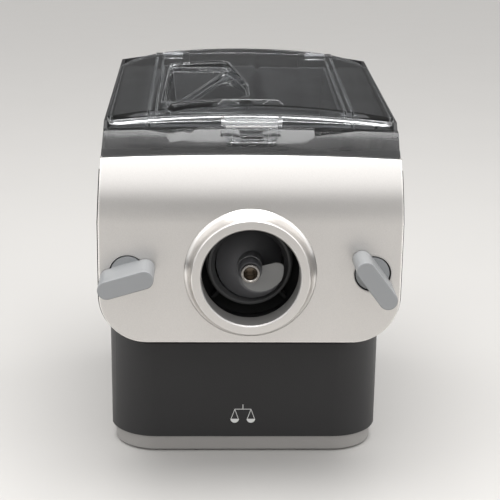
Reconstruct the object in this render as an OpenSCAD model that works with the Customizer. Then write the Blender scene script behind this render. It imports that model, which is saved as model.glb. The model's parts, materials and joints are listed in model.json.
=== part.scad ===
// Electric pasta maker: a mixing chamber over a geared motor, with an extrusion screw
// that pushes the dough out through a tube in the middle of the front panel.
// X is to the viewer's right, Y is to the back, Z is up. The origin is the middle of the
// footprint, on the surface that the machine stands on.

/* [Overall] */
// Depth from the knob faces to the rear cover
total_d = 347; // [334:1:364]
// Height of the screw, ring and knob axes above the table
axis_z = 179; // [174:1:184]

/* [Front panel] */
// Width of the silver front panel
panel_w = 215; // [208:1:218]
// Lower edge of the panel above the table
panel_bottom_z = 127; // [120:1:132]
// Height at which the flat face begins to lean back
panel_bend_z = 215; // [210:1:222]
// Upper edge of the panel at its middle
panel_top_z = 262; // [258:1:264]
// Radius of the leaning upper part, seen from the side
panel_bend_r = 98; // [80:1:120]
// Radius of the two lower corners
panel_corner_r = 34; // [24:1:38]
// Thickness of the panel skin
panel_t = 2.5; // [2:0.1:3.5]

/* [Ring collar] */
// Radius of the hole in the ring
ring_hole_r = 35; // [33:0.5:38]
// Outer radius of the flat front face
ring_face_r = 41.5; // [40:0.5:44]
// Outer radius where the flare meets the panel
ring_flare_r = 47.5; // [45:0.5:52]
// How far the ring stands out of the panel
ring_reach = 12.6; // [10:0.2:16]

/* [Knobs] */
// Distance of each knob axis from the centre plane
knob_x = 87; // [84:0.5:89]
// How far the knob wing stands out of the panel
knob_reach = 29; // [24:0.5:34]
// Radius of the round knob base, which lies flush in the panel
knob_base_r = 12.2; // [11:0.1:13]
// Length of the knob wing
wing_l = 40; // [34:0.5:42]
// Width of the knob wing
wing_w = 13.2; // [11:0.1:14]
// Tilt of the left wing, counter-clockwise from level
left_wing_tilt = 16.5; // [0:0.5:45]
// Tilt of the right wing, clockwise from level
right_wing_tilt = 53; // [0:0.5:60]

/* [Lower body] */
// Width of the dark body
body_w = 217; // [212:1:220]
// How far the lower body stands back from the panel face
body_recess = 88; // [80:1:92]
// Radius of the lower body's front corners
body_corner_r = 38; // [28:1:40]
// Height of the light base band's upper edge
base_top_z = 13.5; // [12:0.5:16]
// How far the base band stands inside the body
base_inset = 4; // [2:0.5:5]
// Wall of the body shells
wall = 2.6; // [2.2:0.1:3]

/* [Lid] */
// Width of the clear lid
lid_w = 204; // [198:1:206]
// Length of the clear lid
lid_l = 213; // [208:1:214]
// Rise of the lid from front to rear in degrees
lid_slope = 3.2; // [2.5:0.1:3.5]
// Height of the lid's front corners above the table
lid_corner_z = 281.5; // [280:0.5:283]
// Radius of the lid's rear corners
lid_rear_r = 45; // [30:1:50]
// Height of the lid's crest over its side rims
lid_crest = 10.8; // [10:0.2:12]
// Radius of the crowned lid top, seen from the front
lid_crown_r = 640; // [600:10:700]
// Wall of the lid
lid_wall = 2.4; // [2:0.1:2.8]

/* [Mixing chamber] */
// Inner radius of the round chamber floor
chamber_r = 61; // [58:1:61]
// Inner length of the chamber
chamber_l = 167; // [160:1:168]

/* [Screw and stirrer] */
// Bore of the extrusion tube
tube_bore_r = 25.2; // [24.5:0.1:26]
// Outer radius of the extrusion tube
tube_r = 30; // [29:0.1:31]
// Pitch of the screw flight
screw_pitch = 34; // [28:1:40]
// Radius of the screw core
screw_core_r = 9.2; // [8.5:0.1:10]
// Reach of the stirring arms
stir_r = 56; // [50:0.5:57]

/* [Gears] */
// Teeth of the output gear
output_teeth = 54; // [48:1:56]
// Teeth of the layshaft wheel
wheel_teeth = 46; // [42:1:48]
// Teeth of both pinions
pinion_teeth = 17; // [17:1:18]
// Module of the slow gear pair
slow_module = 2.25; // [2:0.05:2.3]
// Module of the fast gear pair
fast_module = 1.5; // [1.25:0.05:1.6]
// Play between the teeth, along the pitch circle
backlash = 0.5; // [0.3:0.05:0.7]

/* [Hidden] */
$fn = 96;

half_d = total_d / 2;
panel_y = -half_d + knob_reach;      // face of the front panel
rear_y = half_d;                     // face of the rear cover
body_y = panel_y + body_recess;      // face of the lower body
panel_depth = 6;                     // depth of the panel's turned-back edges
front_in = panel_depth + 0.4;        // front wall of the housing, behind the panel face
front_y = panel_y + front_in;
body_half = body_w / 2;
gap = 0.4;                           // play round covers

// Frame of the sloping lid: its origin is at the front corners of the lid's rim.
lid_y = panel_y + 27;
rim_crown_r = 1000;                  // crown of the rim that the lid closes on
rim_rise = 5.2;                      // rise of that rim at its middle
skirt_crown_r = 1400;                // crown of the lower edge of the lid's front wall
skirt_rise = 1.7;                    // rise of that edge at its middle

chamber_front_y = panel_y + 45;
chamber_rear_y = chamber_front_y + chamber_l;
chamber_wall_x = 66;                 // inside of the straight chamber walls
tube_front_y = panel_y + 20;
screw_y0 = panel_y + 12;               // front face of the screw's flight
screw_l = 66;

motor_z = 58;
stage_slow = slow_module * (output_teeth + pinion_teeth) / 2;
stage_fast = fast_module * (wheel_teeth + pinion_teeth) / 2;
drop = axis_z - motor_z;
lay_z = motor_z + (drop - (pow(stage_slow, 2) - pow(stage_fast, 2)) / drop) / 2;
lay_x = sqrt(pow(stage_fast, 2) - pow(lay_z - motor_z, 2));
slow_y = 84;                         // front face of the slow gear pair
fast_y = 100;                        // front face of the fast gear pair
gear_face = 12;

// Control panel: a sloping plate on the rear top cover.
control_y = rear_y - 35.5;
control_z = 295.8;
plate_t = 1.6;                       // thickness of the control plate
control_tilt = 9;
inlet_x = 44;
inlet_z = 56;
board_y = rear_y - 21.5;             // main circuit board, on posts of the rear cover
board_x = [-74, -22];
board_z = [66, 134];
hinge_y = lid_l - 4;                 // lid hinge, in the lid's frame
hinge_z = 4;
hinge_lugs = [48.7, 71.3];           // middles of the frame's lugs, beside the lid's knuckles
latch_y = lid_y - 7.5;               // latch pivot
latch_z = lid_corner_z + 2.3;

// ---- Shapes shared by several pieces ----

// Points of an arc in a plane.
function arc(cx, cy, r, from, to, steps) =
    [for (i = [0:steps]) let (a = from + (to - from) * i / steps) [cx + r * cos(a), cy + r * sin(a)]];

// Rectangle in plan with its own radius at the front and at the back.
module rounded_plan(half_w, y0, y1, r_front, r_back) {
    translate([-half_w, y0 + r_front]) square([2 * half_w, y1 - y0 - r_front - r_back]);
    translate([-half_w + r_front, y0]) square([2 * (half_w - r_front), r_front + 1]);
    translate([-half_w + r_back, y1 - r_back - 1]) square([2 * (half_w - r_back), r_back + 1]);
    for (side = [-1, 1]) {
        translate([side * (half_w - r_front), y0 + r_front]) circle(r_front);
        translate([side * (half_w - r_back), y1 - r_back]) circle(r_back);
    }
}

// Slot with round ends, centred.
module stadium(length, width) {
    square([length - width, width], center = true);
    for (side = [-1, 1]) translate([side * (length - width) / 2, 0]) circle(width / 2);
}

// Extrudes an outline drawn as (Y, Z) across the width.
module across(width) {
    rotate([90, 0, 90]) linear_extrude(width, center = true) children();
}

// Extrudes an outline drawn as (X, Z) along Y, from y0 to y1.
module along(y0, y1) {
    translate([0, y1, 0]) rotate([90, 0, 0]) linear_extrude(y1 - y0) children();
}

// A cylinder along Y, from y0 to y1.
module rod(x, z, r, y0, y1) {
    translate([x, y1, z]) rotate([90, 0, 0]) cylinder(r = r, h = y1 - y0);
}

// Turns a (radius, height) outline round an axis along -Y that starts at y0.
module turned(x, z, y0) {
    translate([x, y0, z]) rotate([90, 0, 0]) rotate_extrude() children();
}

module lid_frame() {
    translate([0, lid_y, lid_corner_z]) rotate([lid_slope, 0, 0]) children();
}

module control_frame() {
    translate([0, control_y, control_z]) rotate([-control_tilt, 0, 0]) children();
}

// A large cylinder along Y whose top passes through height z.
module crown(r, z) {
    translate([0, 0, z - r]) rotate([90, 0, 0]) cylinder(r = r, h = 900, center = true, $fn = 720);
}

// ---- Housing ----

under_r = 8;
under_slope = atan(16 / 41);
under_bend = 90 - under_slope;
fillet_y = body_y - under_r;
fillet_z = panel_bottom_z - 16 - under_r * sin(under_bend)
    - (fillet_y + under_r * cos(under_bend) - (panel_y + 44)) * tan(under_slope);
wall_top_z = 264;                    // top of the front wall, behind the window
wall_top_a = asin((wall_top_z - panel_bend_z) / (panel_bend_r - front_in));
rear_deck_z = 275;                   // top of the rear walls, under the rear top cover

// Side outline of the main housing. inset shrinks it; lift opens its top.
function housing_side(inset, lift) =
    let (low = base_top_z - (inset > 0 ? 1 : 0), r = panel_bend_r - front_in - inset)
    concat(
        [[rear_y - inset, low], [body_y + inset, low]],
        arc(fillet_y, fillet_z, under_r + inset, 0, under_bend, 4),
        [[front_y + inset, panel_bottom_z - 3.4 * tan(under_slope) + inset]],
        arc(panel_y + panel_bend_r, panel_bend_z, r, 180, 180 - wall_top_a, 7),
        [[panel_y + 23.2, wall_top_z + lift], [lid_y + 8, 281.4 + lift],
         [lid_y + 218.1, 293.2 + lift], [lid_y + 218.1, rear_deck_z + lift],
         [rear_y - inset, rear_deck_z + lift]]);

// Front outline: it narrows a little to the foot, and leans in above the bend.
module housing_front(inset) {
    half = body_half - inset;
    lean = 6.5;
    taper = 0.9;
    polygon([[-half + taper, 0], [half - taper, 0], [half, panel_bottom_z], [half, panel_bend_z],
        [half - lean, 320], [-half + lean, 320], [-half, panel_bend_z], [-half, panel_bottom_z]]);
}

// The upper housing's belly: its rounded lower edges run down and back with the underside.
module belly_form(inset) {
    r = panel_corner_r;
    low = panel_bottom_z * cos(under_slope) + panel_y * sin(under_slope) + inset;
    rotate([-under_slope, 0, 0]) along(-260, 300) {
        half = body_half - inset;
        translate([-half, low + r]) square([2 * half, 400]);
        translate([-half + r, low]) square([2 * (half - r), r + 1]);
        for (side = [-1, 1]) translate([side * (half - r), low + r]) circle(r);
    }
}

module housing_form(inset, lift) {
    intersection() {
        across(2 * body_w) polygon(housing_side(inset, lift));
        along(-200, 200) housing_front(inset);
        union() {
            translate([0, 0, -10]) linear_extrude(165)
                rounded_plan(body_half - inset, body_y + inset, rear_y - inset,
                    body_corner_r - inset, 20 - inset);
            intersection() {
                translate([0, 0, fillet_z]) linear_extrude(320)
                    rounded_plan(body_half - inset, front_y + inset, rear_y - inset, 8 - inset,
                        20 - inset);
                belly_form(inset);
            }
        }
    }
}

// Rim on the front wall that the panel's back sits on.
module panel_seat() {
    intersection() {
        across(300) panel_side(panel_t, front_in - panel_t + 1);
        along(-160, -60) difference() {
            panel_outline(3.2);
            panel_outline(6);
        }
        translate([0, 0, -2]) crown_cut();
    }
}

screw_posts = [[-60, body_y + 7], [60, body_y + 7], [-60, rear_y - 8], [60, rear_y - 8]];
cover_posts = [[-78, 44], [78, 44], [-78, 244], [78, 244]];
cover_post_y = rear_y - 21.5;

module housing_posts() {
    for (p = screw_posts) translate([p[0], p[1], base_top_z + 1.5]) {
        cylinder(r = 5, h = 19);
        if (p[1] > 0) translate([-4, 0, 0]) cube([8, 7, 8]);
    }
    for (p = cover_posts) {
        rod(p[0], p[1], 4.5, cover_post_y, rear_y - wall);
        intersection() {
            translate([sign(p[0]) * 93 - 15, cover_post_y + 2, p[1] - 1.5]) cube([30, 14.9, 3]);
            housing_form(1, 0);
        }
    }
    // Ledges that carry the top frame.
    lid_frame() for (side = [-1, 1]) translate([side * 100.5 - 3, 14, -14]) cube([6, 180, 4.4]);
}

module main_housing() {
    color([0.2, 0.2, 0.2]) difference() {
        union() {
            difference() {
                housing_form(0, 0);
                housing_form(wall, 20);
                translate([-88, cover_post_y, 24]) cube([176, 40, 240]);
            }
            panel_seat();
            housing_posts();
        }
        rod(0, axis_z, 44, -150, -130);
        for (side = [-1, 1]) rod(side * knob_x, axis_z, 16.4, -150, -130);
        for (p = screw_posts) translate([p[0], p[1], 0]) cylinder(r = 1.6, h = 30);
        for (p = cover_posts) rod(p[0], p[1], 1.65, cover_post_y, 180);
        housing_vents();
    }
}

// Air slots low in both side walls.
module housing_vents() {
    for (i = [0:7])
        translate([0, 40 + i * 9, 60]) rotate([0, 90, 0])
            linear_extrude(2 * body_w, center = true) stadium(34, 3.4);
}

foot_x = 82;
foot_rows = [-26, 146];

module base_tray() {
    color([0.53, 0.51, 0.5]) difference() {
        union() {
            difference() {
                intersection() {
                    translate([0, 0, 2]) linear_extrude(base_top_z - 0.5)
                        rounded_plan(body_half - base_inset, body_y + 1, rear_y - 1,
                            body_corner_r - base_inset, 18);
                    union() {
                        linear_extrude(base_top_z) square(500, center = true);
                        linear_extrude(30) rounded_plan(body_half - wall - gap, body_y + wall + gap,
                            rear_y - wall - gap, body_corner_r - wall - gap, 17);
                    }
                }
                translate([0, 0, 4.6]) linear_extrude(20)
                    rounded_plan(body_half - 6, body_y + 6, rear_y - 6, body_corner_r - 6, 14);
            }
            for (p = screw_posts) translate([p[0], p[1], 3]) cylinder(r = 5, h = base_top_z - 1.5);
        }
        for (x = [-1, 1], y = foot_rows) translate([x * foot_x, y, 0]) cylinder(r = 8.1, h = 3.6);
        for (i = [-3:3]) translate([i * 12, 64, 0]) linear_extrude(8) rotate(90) stadium(50, 4);
        for (p = screw_posts) translate([p[0], p[1], 0]) {
            cylinder(r = 1.7, h = 30);
            cylinder(r = 3.4, h = 4.2);
        }
    }
}

module rubber_feet() {
    color([0.1, 0.1, 0.1]) for (x = [-1, 1], y = foot_rows) translate([x * foot_x, y, 0])
        rotate_extrude() polygon([[0, 0], [8.4, 0], [9.2, 0.8], [9.2, 2], [8, 2], [8, 3.6], [0, 3.6]]);
}

// One weighing beam stands over each foot.
module load_cells() {
    color([0.75, 0.76, 0.77]) for (x = [-1, 1], y = foot_rows) translate([x * foot_x, y, 4.6])
        difference() {
            translate([-6, -16, 0]) cube([12, 32, 8]);
            for (dy = [-3.4, 3.4]) translate([-8, dy, 4]) rotate([0, 90, 0]) cylinder(r = 3, h = 16);
        }
}

module base_screws() {
    color([0.7, 0.7, 0.7]) for (p = screw_posts) translate([p[0], p[1], 2.4]) {
        cylinder(r = 3.2, h = 1.8);
        cylinder(r = 1.55, h = 24);
    }
}

// Deck round the chamber mouth, with the two pairs of hinge lugs.
module top_frame() {
    color([0.14, 0.14, 0.14]) lid_frame() difference() {
        union() {
            translate([0, 0, -9.6]) linear_extrude(2.6) rounded_plan(100.8, 6, 218, 6, 2);
            for (side = [-1, 1], x = hinge_lugs) translate([side * x - 2.7, 0, 0]) {
                translate([0, hinge_y - 3.4, -9]) cube([5.4, 6.8, hinge_z + 9]);
                translate([0, hinge_y, hinge_z]) rotate([0, 90, 0]) cylinder(r = 3.4, h = 5.4);
            }
        }
        translate([0, 0, -12]) linear_extrude(8) rounded_plan(69.2, 13.6, 190, 1.5, 1.5);
        for (side = [-1, 1]) translate([side * 60 - 20, hinge_y, hinge_z]) rotate([0, 90, 0])
            cylinder(r = 1.55, h = 40);
        translate([88, 8.4, -12]) cube([4, 5.2, 8]);
    }
}

// Cap over the rear of the housing; it carries the controls.
module rear_top_cover() {
    color([0.16, 0.16, 0.16]) difference() {
        rear_cap_form(0);
        rear_cap_form(wall);
        control_frame() difference() {
            translate([0, 0, -20]) linear_extrude(40) rounded_plan(76, -27, 27, 8, 8);
            control_crown(-plate_t);
        }
        control_frame() translate([0, 0, -20]) linear_extrude(40) rounded_plan(70, -23, 23, 5, 5);
    }
}

module control_crown(z) {
    crown(lid_crown_r, z);
}

module rear_cap_form(inset) {
    intersection() {
        translate([0, 0, rear_deck_z + (inset > 0 ? -1 : 0)]) linear_extrude(60)
            rounded_plan(body_half - inset, lid_y + 218.5 + inset, rear_y - inset, 3, 20 - inset);
        along(-200, 200) housing_front(inset);
        control_frame() control_crown(-inset);
    }
}

module rear_cover() {
    color([0.17, 0.17, 0.17]) difference() {
        union() {
            translate([-87.6, rear_y - wall, 24.4]) cube([175.2, wall, 239.2]);
            for (x = board_x, z = board_z) rod(x, z, 3, board_y + 1.6, rear_y - 1);
        }
        for (row = [0:11], side = [-1, 1]) translate([side * 38, rear_y, 150 + row * 8])
            rotate([90, 0, 0]) linear_extrude(20, center = true) stadium(52, 3);
        translate([inlet_x, rear_y, inlet_z]) cube([27.2, 20, 21.2], center = true);
        for (p = cover_posts) {
            rod(p[0], p[1], 1.7, cover_post_y, 180);
            rod(p[0], p[1], 3.4, rear_y - 1.4, 180);
        }
    }
}

module rear_cover_screws() {
    color([0.6, 0.6, 0.6]) for (p = cover_posts) {
        rod(p[0], p[1], 3.2, rear_y - 1.4, rear_y - 0.2);
        rod(p[0], p[1], 1.6, rear_y - 14, rear_y - 1.4);
    }
}

module power_inlet() {
    color([0.08, 0.08, 0.08]) difference() {
        union() {
            translate([inlet_x, rear_y - 10, inlet_z]) cube([26.6, 18.8, 20.6], center = true);
            translate([inlet_x, rear_y - wall - 1, inlet_z]) cube([31, 2, 25], center = true);
        }
        translate([inlet_x, rear_y - 6, inlet_z]) cube([23, 16, 16], center = true);
    }
    // Two live blades and the earth blade between and above them.
    color([0.75, 0.75, 0.75]) for (p = [[-7, -2], [7, -2], [0, 2]])
        translate([inlet_x + p[0], rear_y - 10, inlet_z + p[1]]) cube([2, 11, 4], center = true);
}

// ---- Front ----

// Front outline of the panel, with its lower corners rounded.
module panel_outline(inset) {
    half = panel_w / 2 - inset;
    low = panel_bottom_z + inset;
    r = panel_corner_r - inset;
    lean = 2.2;
    translate([-half, low + r]) square([2 * half, panel_bend_z - low - r]);
    translate([-half + r, low]) square([2 * (half - r), r + 1]);
    for (side = [-1, 1]) translate([side * (half - r), low + r]) circle(r);
    polygon([[-half, panel_bend_z - 1], [half, panel_bend_z - 1], [half, panel_bend_z],
        [half - lean, panel_top_z + 2], [-half + lean, panel_top_z + 2], [-half, panel_bend_z]]);
}

// Side outline of the leaning face: in is its distance behind the panel face, deep its depth.
module panel_side(in, deep) {
    difference() {
        union() {
            translate([panel_y + in, panel_bottom_z - 5]) square([deep, panel_bend_z - panel_bottom_z + 5]);
            intersection() {
                translate([panel_y + panel_bend_r, panel_bend_z]) circle(panel_bend_r - in, $fn = 240);
                translate([panel_y, panel_bend_z - 1]) square([70, 60]);
            }
        }
        translate([panel_y + panel_bend_r, panel_bend_z]) circle(panel_bend_r - in - deep, $fn = 240);
        translate([panel_y + in + deep, panel_bottom_z - 6]) square([200, 100]);
    }
}

module front_panel() {
    color([0.8, 0.78, 0.76]) difference() {
        union() {
            difference() {
                intersection() {
                    across(300) panel_side(0, panel_depth);
                    along(-160, -60) panel_outline(0);
                    crown_cut();
                }
                intersection() {
                    across(300) panel_side(panel_t, 30);
                    along(-160, -60) panel_outline(panel_t);
                }
            }
            for (side = [-1, 1]) rod(side * knob_x, axis_z, 15.6, panel_y + 1, panel_y + 6);
        }
        rod(0, axis_z, ring_flare_r - 2, -160, -120);
        for (side = [-1, 1]) {
            rod(side * knob_x, axis_z, knob_base_r + 0.8, -160, panel_y + 3);
            rod(side * knob_x, axis_z, 5.05, -160, -120);
        }
    }
}

// The upper edge of the panel follows the crown of the lid.
module crown_cut() {
    translate([0, 0, panel_top_z]) crown(2300, 0);
}

// The ring is turned: a spigot behind the panel, a hollow flare in front, a flat polished face.
module panel_ring() {
    lip_r = ring_face_r + 0.8;
    color([0.85, 0.84, 0.83]) turned(0, axis_z, panel_y + 6) {
        translate([ring_hole_r, 0]) square([ring_flare_r - 2.1 - ring_hole_r, 6.5]);
        polygon(concat([[ring_hole_r, 6], [ring_flare_r, 6]],
            [for (i = [1:8]) let (a = 90 * i / 8)
                [lip_r + (ring_flare_r - lip_r) * (1 - sin(a)), 6 + (ring_reach - 1) * (1 - cos(a))]],
            [[ring_face_r, 6 + ring_reach], [ring_hole_r + 1, 6 + ring_reach],
             [ring_hole_r, 5 + ring_reach]]));
    }
}

// Smoked window between the panel and the lid. Its crease dips in the middle.
window_top_z = 278.9;                // upper edge of the window, at its middle
window_half = 104.2;
window_t = 2.6;
window_cols = 28;
function face_y(z, in) = panel_y + panel_bend_r - sqrt(pow(panel_bend_r - in, 2) - pow(z - panel_bend_z, 2));
function drop_of(x, r) = r - sqrt(r * r - x * x);
function rim_z(x) = window_top_z - drop_of(x, 3000);
function crease_z(x) = min(rim_z(x) - 0.4, 272.3 + 9 * pow(x / 98, 2));
function foot_z(x) = panel_top_z + gap - drop_of(x, 2300);
function window_rib(u) =
    let (x = u * window_half, low = foot_z(x), mid = crease_z(x),
         top = rim_z(x), crease_y = face_y(mid, 0), top_y = max(crease_y + 0.8, lid_y + 1.2))
    [[x, face_y(low, 0), low],
     [x, face_y((low + mid) / 2, 0), (low + mid) / 2],
     [x, crease_y, mid],
     [x, top_y, top],
     [x, top_y + window_t, top],
     [x, crease_y + window_t * 1.1, mid - window_t * 0.6],
     [x, face_y((low + mid) / 2, window_t), (low + mid) / 2],
     [x, face_y(low, window_t), low]];

module front_window() {
    ribs = [for (i = [0:window_cols]) window_rib(2 * i / window_cols - 1)];
    per = 8;
    points = [for (rib = ribs, p = rib) p];
    last = window_cols * per;
    sides = [for (i = [0:window_cols - 1], k = [0:per - 1]) let (n = (k + 1) % per)
        [i * per + k, i * per + n, (i + 1) * per + n, (i + 1) * per + k]];
    caps = [[for (k = [per - 1:-1:0]) k], [for (k = [0:per - 1]) last + k]];
    color([0.4, 0.4, 0.4]) {
        polyhedron(points, concat(sides, caps));
        translate([-8, latch_y - 3.6, 275.6]) cube([16, 9, 1.4]);
        for (x = [-66, -22, 22, 66]) translate([x - 4, panel_y + 14.5, wall_top_z]) cube([8, 8, 2]);
    }
}

// ---- Chamber and tube ----

module chamber_section(inset) {
    translate([0, axis_z]) circle(chamber_r + inset);
    polygon([[-chamber_r - inset, axis_z], [chamber_r + inset, axis_z],
        [chamber_wall_x + inset, 300], [-chamber_wall_x - inset, 300]]);
}

module mixing_chamber() {
    color([0.24, 0.24, 0.25]) difference() {
        union() {
            intersection() {
                along(chamber_front_y - wall, chamber_rear_y + wall) chamber_section(wall);
                lid_frame() translate([-150, -50, -300]) cube([300, 400, 299]);
            }
            lid_frame() translate([0, 0, -7]) linear_extrude(2) rounded_plan(76, 9, 196, 6, 6);
        }
        along(chamber_front_y, chamber_rear_y) chamber_section(0);
        rod(0, axis_z, tube_r + 0.1, -120, -90);
        rod(0, axis_z, 13.1, 50, 80);
    }
}

module chamber_seal() {
    color([0.12, 0.12, 0.12]) turned(0, axis_z, chamber_front_y - wall)
        translate([tube_r + 0.2, 0]) square([3.4, 2.4]);
}

module extrusion_tube() {
    flange_y = chamber_front_y - wall - 2.4;
    color([0.2, 0.2, 0.21]) difference() {
        union() {
            rod(0, axis_z, tube_r, tube_front_y, -72);
            rod(0, axis_z, 43.4, flange_y - 3, flange_y);
            for (a = [45:90:315]) translate([0, 0, axis_z]) rotate([0, a, 0])
                translate([tube_r - 1, flange_y - 14, -1.2]) cube([9, 12, 2.4]);
            rod(0, axis_z, tube_r + 1.4, tube_front_y + 5, tube_front_y + 8);
        }
        rod(0, axis_z, tube_bore_r, -140, -60);
        turned(0, axis_z, tube_front_y + 3)
            polygon([[0, 0], [tube_bore_r, 0], [tube_bore_r + 3, 3.1], [0, 3.1]]);
        translate([-18, -96, axis_z]) cube([36, 40, 40]);
    }
}

module shaft_seal() {
    color([0.1, 0.1, 0.1]) difference() {
        union() {
            rod(0, axis_z, 13, chamber_rear_y - 1, chamber_rear_y + wall);
            rod(0, axis_z, 16, chamber_rear_y + wall, chamber_rear_y + wall + 3);
        }
        rod(0, axis_z, 6.06, 50, 90);
    }
}

// ---- Drive ----

function involute(a) = tan(a) * 180 / PI - a;
// Half tooth angle at radius rho, for a gear of the given teeth and module.
function half_tooth(teeth, m, rho) =
    let (base = m * teeth / 2 * cos(20), inside = rho <= base)
    (90 - backlash / 2 / (m * PI) * 180 * 2) / teeth + involute(20)
        - (inside ? 0 : involute(acos(base / rho)));
function gear_points(teeth, m) =
    let (pitch_r = m * teeth / 2, root = pitch_r - 1.25 * m, tip = pitch_r + m,
         base = max(pitch_r * cos(20), root + 0.1),
         radii = [root, base, (base + pitch_r) / 2, pitch_r, pitch_r + m / 2, tip])
    [for (i = [0:teeth - 1]) let (mid = 360 * i / teeth)
        each concat(
            [for (rho = radii) let (h = half_tooth(teeth, m, rho)) [rho * cos(mid - h), rho * sin(mid - h)]],
            [for (k = [len(radii) - 1:-1:0]) let (rho = radii[k], h = half_tooth(teeth, m, rho))
                [rho * cos(mid + h), rho * sin(mid + h)]])];

// A gear in the XZ plane, with the middle of one tooth at the given angle.
module gear(x, z, teeth, m, y0, turn) {
    translate([x, y0 + gear_face, z]) rotate([90, 0, 0]) rotate(turn)
        linear_extrude(gear_face) polygon(gear_points(teeth, m));
}

slow_angle = atan2(lay_z - axis_z, lay_x);           // from the output gear to the layshaft
fast_angle = atan2(lay_z - motor_z, lay_x);          // from the motor pinion to the layshaft

module drive_shaft() {
    color([0.75, 0.75, 0.76]) difference() {
        rod(0, axis_z, 6, -60, 116);
        translate([3.8, -61, axis_z - 10]) cube([10, 119.4, 20]);
    }
}

module output_gear() {
    color([0.85, 0.83, 0.75]) difference() {
        union() {
            gear(0, axis_z, output_teeth, slow_module, slow_y, slow_angle);
            rod(0, axis_z, 14, slow_y - 2, slow_y + gear_face + 2);
        }
        rod(0, axis_z, 6.02, 60, 120);
        for (a = [0:60:300]) translate([0, 0, axis_z]) rotate([0, a, 0])
            rod(35, 0, 12, 60, 120);
    }
}

// Stirring bar: a sleeve on the drive shaft with staggered paddle arms.
module stirring_bar() {
    color([0.55, 0.56, 0.57]) difference() {
        union() {
            rod(0, axis_z, 10.4, -60.5, 58);
            for (i = [0:4]) translate([0, -46 + i * 24, axis_z]) rotate([0, 36 + i * 72, 0])
                stirring_arm();
        }
        difference() {
            rod(0, axis_z, 6.03, -70, 70);
            translate([3.85, -71, axis_z - 10]) cube([10, 142, 20]);
        }
    }
}

module stirring_arm() {
    rotate([22, 0, 0]) {
        translate([0, -2.5, 0]) rotate([-90, 0, 0]) linear_extrude(5)
            translate([stir_r / 2 - 2, 0]) stadium(stir_r - 4 + 6, 9);
        translate([stir_r - 8, -9, -1.8]) cube([6, 18, 3.6]);
    }
}

// Cross-section of the screw: a round core from which the flight rises like a comma.
flight_r = tube_bore_r - 0.6;
flight_lead = 12;                    // angle over which the leading corner is rounded
flight_crest = 34;                   // angle at which the flight's land ends
flight_end = 139;                    // angle at which the flight has run out into the core
function comma(a) =
    a < flight_lead ? flight_r - 5.2 * pow(1 - a / flight_lead, 2.8)
    : a < flight_crest ? flight_r
    : screw_core_r + (flight_r - screw_core_r)
        * pow((flight_end - a) / (flight_end - flight_crest), 0.8);
flight_steps = concat([0, 2.5, 6, 12, 23, 34], [for (a = [44.5:10.5:flight_end]) a]);
module screw_section() {
    polygon(concat([[screw_core_r, 0]], [for (a = flight_steps) comma(a) * [cos(a), sin(a)]],
        [for (a = [152:15:347]) screw_core_r * [cos(a), sin(a)]]));
}

module extrusion_screw() {
    color([0.42, 0.42, 0.43]) {
        translate([0, screw_y0, axis_z]) rotate([-90, 0, 0]) rotate(-14)
            linear_extrude(screw_l, twist = -360 * screw_l / screw_pitch, slices = 32, segments = 1)
                screw_section();
        // Nose with a socket for the steel bush.
        difference() {
            turned(0, axis_z, screw_y0 + 1, $fn = 48)
                polygon([[0, 0], [8.7, 0], [8.7, 3], [8.4, 7], [7.5, 11], [0, 11]]);
            rod(0, axis_z, 6.75, -160, screw_y0, $fn = 48);
        }
        // Collar that butts on the stirring bar.
        rod(0, axis_z, 8.4, screw_y0 + screw_l - 2, -60.5, $fn = 48);
    }
}

module screw_bush() {
    color([0.8, 0.8, 0.82]) difference() {
        rod(0, axis_z, 6.7, panel_y - 2, screw_y0);
        rod(0, axis_z, 4.5, -160, screw_y0 - 2);
        turned(0, axis_z, panel_y - 1) polygon([[0, 0], [4.5, 0], [5.6, 1.1], [0, 1.1]]);
    }
}

module layshaft_pin() {
    color([0.75, 0.75, 0.76]) rod(lay_x, lay_z, 4, 77, 118);
}

module layshaft_gears() {
    color([0.85, 0.83, 0.75]) difference() {
        union() {
            gear(lay_x, lay_z, pinion_teeth, slow_module, slow_y, slow_angle + 180 + 180 / pinion_teeth);
            gear(lay_x, lay_z, wheel_teeth, fast_module, fast_y, fast_angle + 180 / wheel_teeth + 180);
            rod(lay_x, lay_z, 9, slow_y - 2, fast_y + gear_face + 1);
        }
        rod(lay_x, lay_z, 4.02, 60, 130);
    }
}

module motor_shaft() {
    color([0.75, 0.75, 0.76]) rod(0, motor_z, 4, 60, 116);
}

module motor_pinion() {
    color([0.72, 0.6, 0.3]) difference() {
        gear(0, motor_z, pinion_teeth, fast_module, fast_y, fast_angle);
        rod(0, motor_z, 4.02, 60, 130);
    }
}

module motor_case() {
    color([0.62, 0.63, 0.64]) difference() {
        union() {
            rod(0, motor_z, 33, -44, 34);
            rod(0, motor_z, 12, -48, -44);
        }
        for (a = [0:45:315]) translate([0, 0, motor_z]) rotate([0, a, 0])
            rod(22, 0, 4, -50, -38);
    }
}

module motor_gearhead() {
    color([0.5, 0.51, 0.52]) difference() {
        union() {
            rod(0, motor_z, 29, 34, 66);
            rod(0, motor_z, 12, 66, 79);
        }
        rod(0, motor_z, 4.05, 58, 80);
    }
}

// Two saddles carry the motor from the base tray.
module motor_cradle() {
    color([0.3, 0.3, 0.31]) for (y = [-34, 14]) difference() {
        translate([-28, y, 4.6]) cube([56, 10, 36]);
        rod(0, motor_z, 33.05, -60, 40);
        for (x = [-1, 1]) rod(x * 20, 14, 4, -60, 40);
    }
}

// Gearbox: a tray at the front and a lid at the rear, split behind the gears.
module gearbox_outline(inset) {
    translate([0, axis_z]) circle(68 - inset);
    translate([lay_x, lay_z]) circle(41 - inset);
    translate([0, motor_z]) circle(24 - inset);
    polygon([[-66 + inset, axis_z], [66 - inset, axis_z], [lay_x + 41 - inset, lay_z],
        [lay_x - 39 + inset, lay_z]]);
}

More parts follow.
